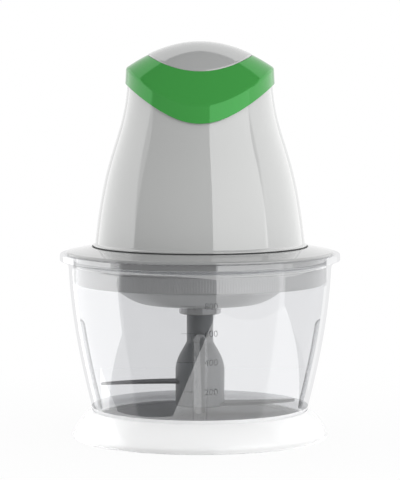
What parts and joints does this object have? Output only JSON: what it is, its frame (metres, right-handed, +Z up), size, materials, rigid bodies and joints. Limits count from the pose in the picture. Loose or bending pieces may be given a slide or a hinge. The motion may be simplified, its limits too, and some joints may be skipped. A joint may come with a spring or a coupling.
{
  "type": "electric mini chopper",
  "caption": "Electric mini chopper: clear bowl on an anti-slip base, push-in lid, bell-shaped motor unit with a domed press cap, and a two-blade cutter.",
  "frame": {"origin": "centre of the foot, on the surface the base stands on", "axes": "+Z up along the axis of bowl and motor, front towards -Y, cord gland towards +Y"},
  "size_m": [0.1582, 0.1582, 0.2231],
  "materials": {
    "clear_bowl": "clear, polished",
    "clear_base": "translucent, polished",
    "pad_rubber": "matt",
    "seal_rubber": "satin",
    "seam_rubber": "matt",
    "grey_plastic": "glossy",
    "disc_plastic": "satin",
    "green_plastic": "glossy",
    "hub_plastic": "satin",
    "inner_plastic": "matt",
    "gear_plastic": "satin",
    "blade_steel": "ground, polished edge",
    "plain_steel": "bright",
    "bearing_steel": "polished",
    "spring_steel": "bright",
    "core_steel": "stamped sheets",
    "copper": "enamelled wire",
    "brass": "plain",
    "bush_bronze": "sintered",
    "carbon": "matt",
    "mould_aluminium": "as cast",
    "capacitor_case": "matt"
  },
  "bodies": {
    "base": {"anti_slip_base": "clear_base", "base_pad": "pad_rubber", "foot_ring": "clear_base"},
    "bowl": {"bowl": "clear_bowl", "spindle_pin": "plain_steel"},
    "thrust_washer": {"thrust_washer": "gear_plastic"},
    "blade": {"blade_hub": "hub_plastic", "hub_bush": "bush_bronze", "upper_blade": "blade_steel", "lower_blade": "blade_steel"},
    "lid": {"lid": "grey_plastic", "lid_seal": "seal_rubber"},
    "motor_unit": {"motor_housing": "grey_plastic", "motor_seal_ring": "seam_rubber", "motor_base_cover": "inner_plastic", "cover_screws": "plain_steel", "gearbox_cover": "inner_plastic", "gearbox_screws": "plain_steel", "ring_gear": "gear_plastic", "output_bush": "bush_bronze", "lower_bearing": "bearing_steel", "upper_bearing": "bearing_steel", "bearing_bridge": "mould_aluminium", "stator_core": "core_steel", "front_field_winding": "copper", "back_field_winding": "copper", "motor_isolators": "pad_rubber", "motor_bolts": "plain_steel", "brush_holder_left": "brass", "brush_holder_right": "brass", "carbon_brush_left": "carbon", "carbon_brush_right": "carbon", "brush_springs": "spring_steel", "upper_isolator": "pad_rubber", "switch_body": "inner_plastic", "switch_pegs": "inner_plastic", "lever_pin": "plain_steel", "return_spring_left": "spring_steel", "return_spring_right": "spring_steel", "cord_gland": "pad_rubber", "suppressor_capacitor": "capacitor_case"},
    "rotor": {"motor_shaft": "plain_steel", "rotor_core": "core_steel", "rotor_winding": "copper", "commutator": "brass", "cooling_fan": "inner_plastic", "sun_pinion": "plain_steel"},
    "carrier": {"planet_carrier": "mould_aluminium", "planet_pins": "plain_steel", "drive_coupling": "hub_plastic"},
    "planet_1": {"planet_gear_1": "gear_plastic"},
    "planet_2": {"planet_gear_2": "gear_plastic"},
    "planet_3": {"planet_gear_3": "gear_plastic"},
    "press_cap": {"press_cap": "green_plastic", "cap_disc": "disc_plastic", "cap_screws": "plain_steel"},
    "switch_lever": {"switch_lever": "spring_steel"},
    "switch_button": {"switch_button": "hub_plastic"}
  },
  "joints": [
    {"name": "bowl_lift", "type": "slide", "parent": "base", "child": "bowl", "axis": [0, 0, 1], "range_m": [0, 0.06]},
    {"name": "lid_lift", "type": "slide", "parent": "bowl", "child": "lid", "axis": [0, 0, 1], "range_m": [0, 0.25]},
    {"name": "motor_lift", "type": "slide", "parent": "lid", "child": "motor_unit", "axis": [0, 0, 1], "range_m": [0, 0.1]},
    {"name": "blade_lift", "type": "slide", "parent": "bowl", "child": "thrust_washer", "axis": [0, 0, 1], "range_m": [0, 0.1125]},
    {"name": "blade_spin", "type": "hinge", "parent": "thrust_washer", "child": "blade", "pos_m": [0, 0, 0.03], "axis": [0, 0, 1], "continuous": true},
    {"name": "press", "type": "slide", "parent": "motor_unit", "child": "press_cap", "axis": [0, 0, -1], "range_m": [0, 0.002], "stiffness_N_per_m": 1200, "springref_m": -0.0035, "deforming": ["return_spring_left", "return_spring_right"]},
    {"name": "switch_lever_swing", "type": "hinge", "parent": "motor_unit", "child": "switch_lever", "pos_m": [-0.012, 0, 0.2045], "axis": [0, 1, 0], "range_deg": [0, 5.8]},
    {"name": "switch_button_travel", "type": "slide", "parent": "motor_unit", "child": "switch_button", "axis": [0, 0, -1], "range_m": [0, 0.0006]},
    {"name": "rotor_spin", "type": "hinge", "parent": "motor_unit", "child": "rotor", "pos_m": [0, 0, 0.13], "axis": [0, 0, 1], "continuous": true},
    {"name": "carrier_spin", "type": "hinge", "parent": "motor_unit", "child": "carrier", "pos_m": [0, 0, 0.08], "axis": [0, 0, 1], "continuous": true},
    {"name": "planet_1_spin", "type": "hinge", "parent": "carrier", "child": "planet_1", "pos_m": [0.0135, 0, 0.088], "axis": [0, 0, 1], "continuous": true},
    {"name": "planet_2_spin", "type": "hinge", "parent": "carrier", "child": "planet_2", "pos_m": [-0.00675, 0.01169, 0.088], "axis": [0, 0, 1], "continuous": true},
    {"name": "planet_3_spin", "type": "hinge", "parent": "carrier", "child": "planet_3", "pos_m": [-0.00675, -0.01169, 0.088], "axis": [0, 0, 1], "continuous": true}
  ],
  "couplings": [
    {"joint": "blade_lift", "follows": "lid_lift", "ratio": 0.45},
    {"joint": "blade_spin", "follows": "rotor_spin", "ratio": 0.2},
    {"joint": "carrier_spin", "follows": "rotor_spin", "ratio": 0.2},
    {"joint": "switch_lever_swing", "follows": "press", "rad_per_m": 50},
    {"joint": "switch_button_travel", "follows": "press", "ratio": 0.3},
    {"joint": "planet_1_spin", "follows": "rotor_spin", "ratio": -0.53333},
    {"joint": "planet_2_spin", "follows": "rotor_spin", "ratio": -0.53333},
    {"joint": "planet_3_spin", "follows": "rotor_spin", "ratio": -0.53333}
  ]
}
